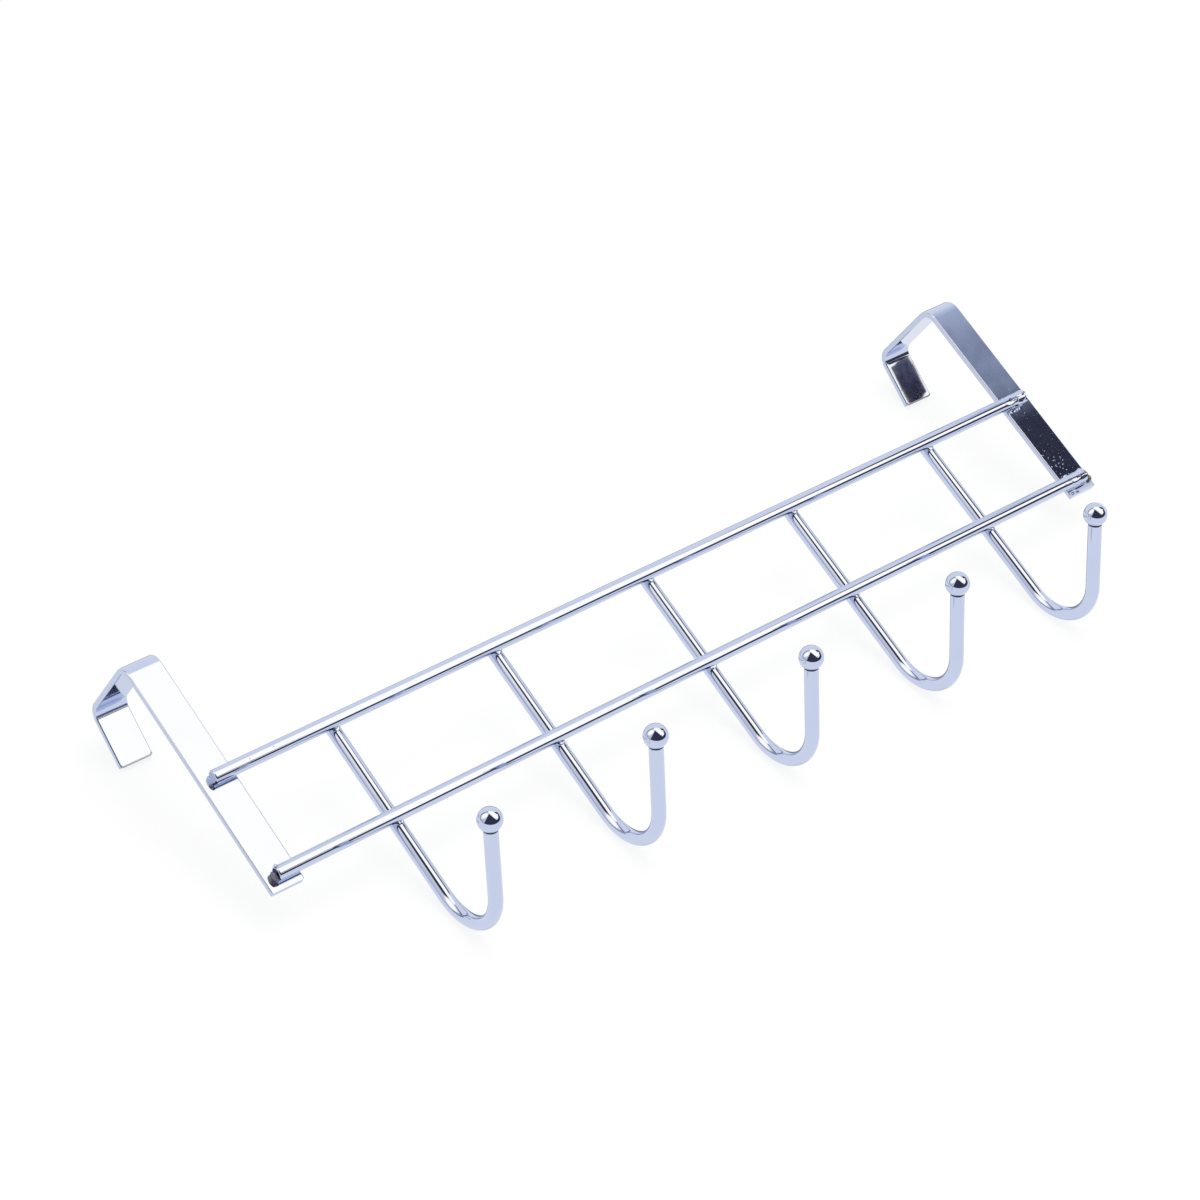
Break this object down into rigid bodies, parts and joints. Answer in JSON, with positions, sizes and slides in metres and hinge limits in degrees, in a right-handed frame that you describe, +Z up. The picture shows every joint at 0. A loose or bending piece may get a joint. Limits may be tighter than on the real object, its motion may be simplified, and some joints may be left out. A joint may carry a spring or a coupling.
{
  "type": "over-door hook rack",
  "caption": "Chromed steel rack hung over a door's top edge: bent strip hangers carry wire rails with a row of forward-curved, ball-tipped wire hooks.",
  "frame": {"origin": "on the top front edge of the door, midway between the two strip hangers: Z = 0 is where the bridges' undersides, carried on to the front, meet Y = 0, the plane of the back faces of the front legs", "axes": "+X along the rails to the right as seen from the front, +Y back into the door, +Z up"},
  "size_m": [0.3732, 0.1012, 0.144],
  "materials": {
    "strap_chrome": "bright chrome plating on flat steel strip",
    "rail_chrome": "bright chrome plating on drawn steel wire",
    "hook_chrome": "bright chrome plating on bent steel wire",
    "ball_chrome": "bright chrome plating on steel balls"
  },
  "bodies": {
    "root": {"left_strap": "strap_chrome", "right_strap": "strap_chrome", "upper_rail": "rail_chrome", "lower_rail": "rail_chrome", "hook_1": "hook_chrome", "ball_1": "ball_chrome", "hook_2": "hook_chrome", "ball_2": "ball_chrome", "hook_3": "hook_chrome", "ball_3": "ball_chrome", "hook_4": "hook_chrome", "ball_4": "ball_chrome", "hook_5": "hook_chrome", "ball_5": "ball_chrome"}
  },
  "joints": []
}
